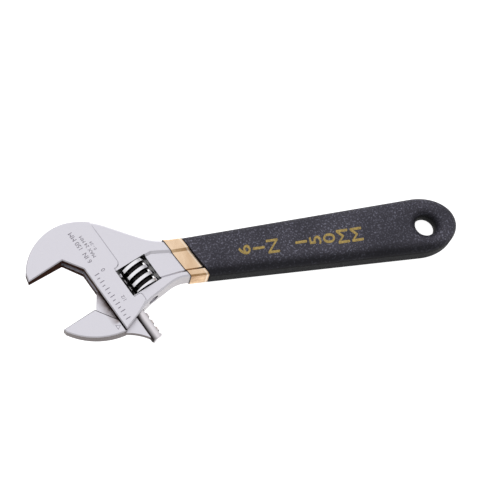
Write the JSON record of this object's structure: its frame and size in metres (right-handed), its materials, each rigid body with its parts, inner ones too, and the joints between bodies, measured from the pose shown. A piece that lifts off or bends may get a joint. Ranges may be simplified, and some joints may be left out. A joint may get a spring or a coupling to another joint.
{
  "type": "adjustable wrench",
  "caption": "Adjustable wrench: forged head with a fixed jaw, a sliding lower jaw driven by a worm screw, and a dipped handle with a hang hole.",
  "frame": {"origin": "centre of the hang hole, half way through the thickness", "axes": "+X along the handle away from the head, +Z normal to the flat faces, +Y to the fixed jaw's side"},
  "size_m": [0.1574, 0.047, 0.0112],
  "materials": {
    "forged_steel": "satin nickel-chrome plate, fine grain",
    "jaw_steel": "satin plate on the flats, polished rounded shank",
    "worm_chrome": "bright polished plate",
    "pin_steel": "dark oiled steel",
    "spring_steel": "bright spring wire",
    "grip_vinyl": "blue-black dipped vinyl with a fine leathery texture",
    "gold_trim": "gold trim, semi-gloss"
  },
  "bodies": {
    "root": {"wrench_body": "forged_steel", "worm_pin": "pin_steel", "worm_spring": "spring_steel", "grip": "grip_vinyl", "trim_band": "gold_trim"},
    "worm": {"adjusting_worm": "worm_chrome"},
    "jaw": {"movable_jaw": "jaw_steel"}
  },
  "joints": [
    {"name": "jaw_slide", "type": "slide", "parent": "root", "child": "jaw", "axis": [0.4147, -0.91, 0], "range_m": [-0.02095, 0.003]},
    {"name": "worm_spin", "type": "hinge", "parent": "root", "child": "worm", "pos_m": [-0.10743, -0.004, 0], "axis": [-0.4147, 0.91, 0], "range_deg": [-2520, 365]}
  ],
  "couplings": [
    {"joint": "worm_spin", "follows": "jaw_slide", "rad_per_m": 2094.4}
  ]
}
